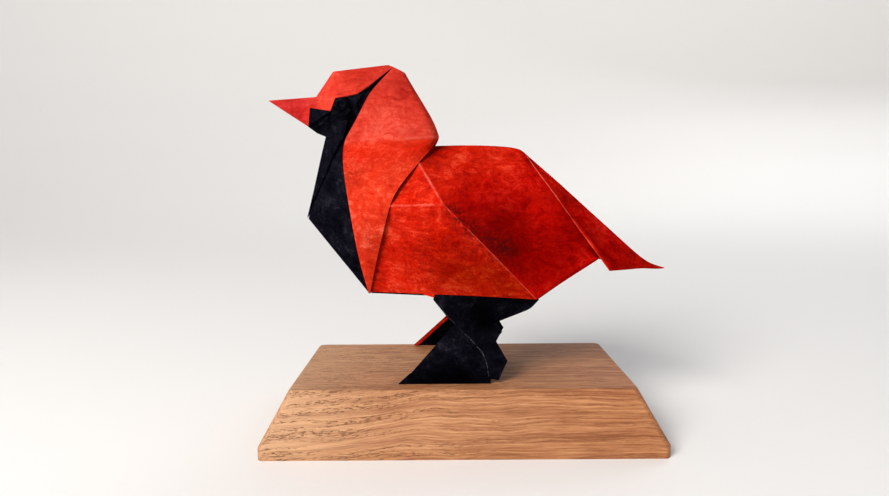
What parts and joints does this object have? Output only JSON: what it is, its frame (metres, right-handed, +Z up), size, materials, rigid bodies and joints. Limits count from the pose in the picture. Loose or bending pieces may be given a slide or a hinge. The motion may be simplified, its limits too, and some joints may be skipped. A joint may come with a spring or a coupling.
{
  "type": "origami bird",
  "caption": "Standing bird folded from a single red and black sheet of fibrous paper, with pleated throat, rolled eyes and long flat feet, displayed on a bevelled oak board.",
  "frame": {"origin": "centre of the oak board's underside, on the surface it stands on", "axes": "+Z up, +X from the beak towards the tail along the board, -Y the side seen in the picture"},
  "size_m": [0.1737, 0.09, 0.1557],
  "materials": {
    "paper": "matte fibrous paper, red face with a blue-black reverse",
    "oak": "sanded oak, oiled"
  },
  "bodies": {
    "root": {"folded_bird": "paper", "oak_board": "oak"}
  },
  "joints": []
}
